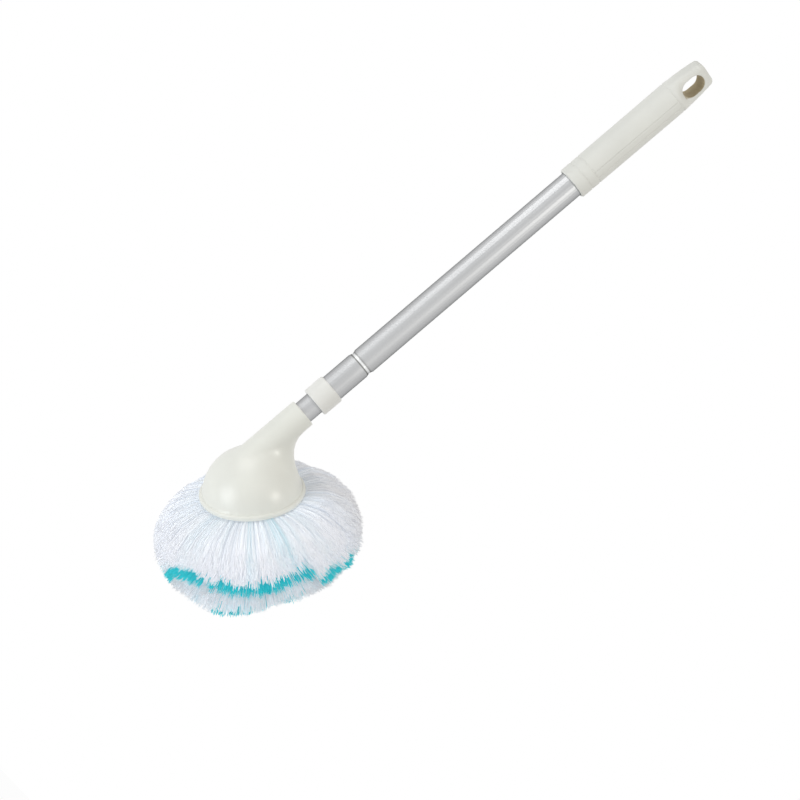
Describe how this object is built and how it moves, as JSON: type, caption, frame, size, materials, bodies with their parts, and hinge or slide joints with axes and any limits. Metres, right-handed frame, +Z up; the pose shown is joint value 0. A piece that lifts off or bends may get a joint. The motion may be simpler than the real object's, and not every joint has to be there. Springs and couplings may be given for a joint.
{
  "type": "bathroom scrub brush",
  "caption": "Telescopic scrub brush: a grip with a hanging hole, a twist-lock aluminium pole and a domed, angled head with a round fan of white and teal bristles.",
  "frame": {"origin": "centre of the hanging hole in the grip's flattened end", "axes": "+Z up the pole from the head towards the grip's end, +Y through the hanging hole, +X towards the side that the bristles lean to"},
  "size_m": [0.1494, 0.1898, 0.6594],
  "materials": {
    "grip_plastic": "fine matt moulding, greyish white",
    "white_plastic": "smooth warm white moulding",
    "inner_plastic": "plain moulding, out of sight",
    "satin_aluminium": "satin drawn tube",
    "zinc_steel": "zinc plated",
    "white_bristle": "bluish white nylon filament",
    "teal_bristle": "teal nylon filament"
  },
  "bodies": {
    "handle": {"grip": "grip_plastic", "outer_tube": "satin_aluminium", "guide_collar": "white_plastic"},
    "guide": {"slide_guide": "inner_plastic"},
    "inner_pole": {"inner_tube": "satin_aluminium", "tube_plug": "inner_plastic", "lock_core": "inner_plastic", "lock_screw": "zinc_steel", "head_shell": "white_plastic", "tuft_block": "inner_plastic", "bristles_rim": "white_bristle", "bristles_outer": "white_bristle", "bristles_teal_outer": "teal_bristle", "bristles_middle": "white_bristle", "bristles_teal_inner": "teal_bristle", "bristles_inner": "white_bristle", "bristles_core": "white_bristle"},
    "cam": {"lock_ring": "inner_plastic"}
  },
  "joints": [
    {"name": "telescope", "type": "slide", "parent": "handle", "child": "guide", "axis": [0, 0, -1], "range_m": [-0.012, 0.3156]},
    {"name": "twist", "type": "hinge", "parent": "guide", "child": "inner_pole", "pos_m": [0, 0, -0.0493], "axis": [0, 0, 1], "range_deg": [0, 90]},
    {"name": "cam_turn", "type": "hinge", "parent": "inner_pole", "child": "cam", "pos_m": [0, 0.0012, -0.0599], "axis": [0, 0, 1], "range_deg": [-90, 0]}
  ],
  "couplings": [
    {"joint": "cam_turn", "follows": "twist", "ratio": -1}
  ]
}
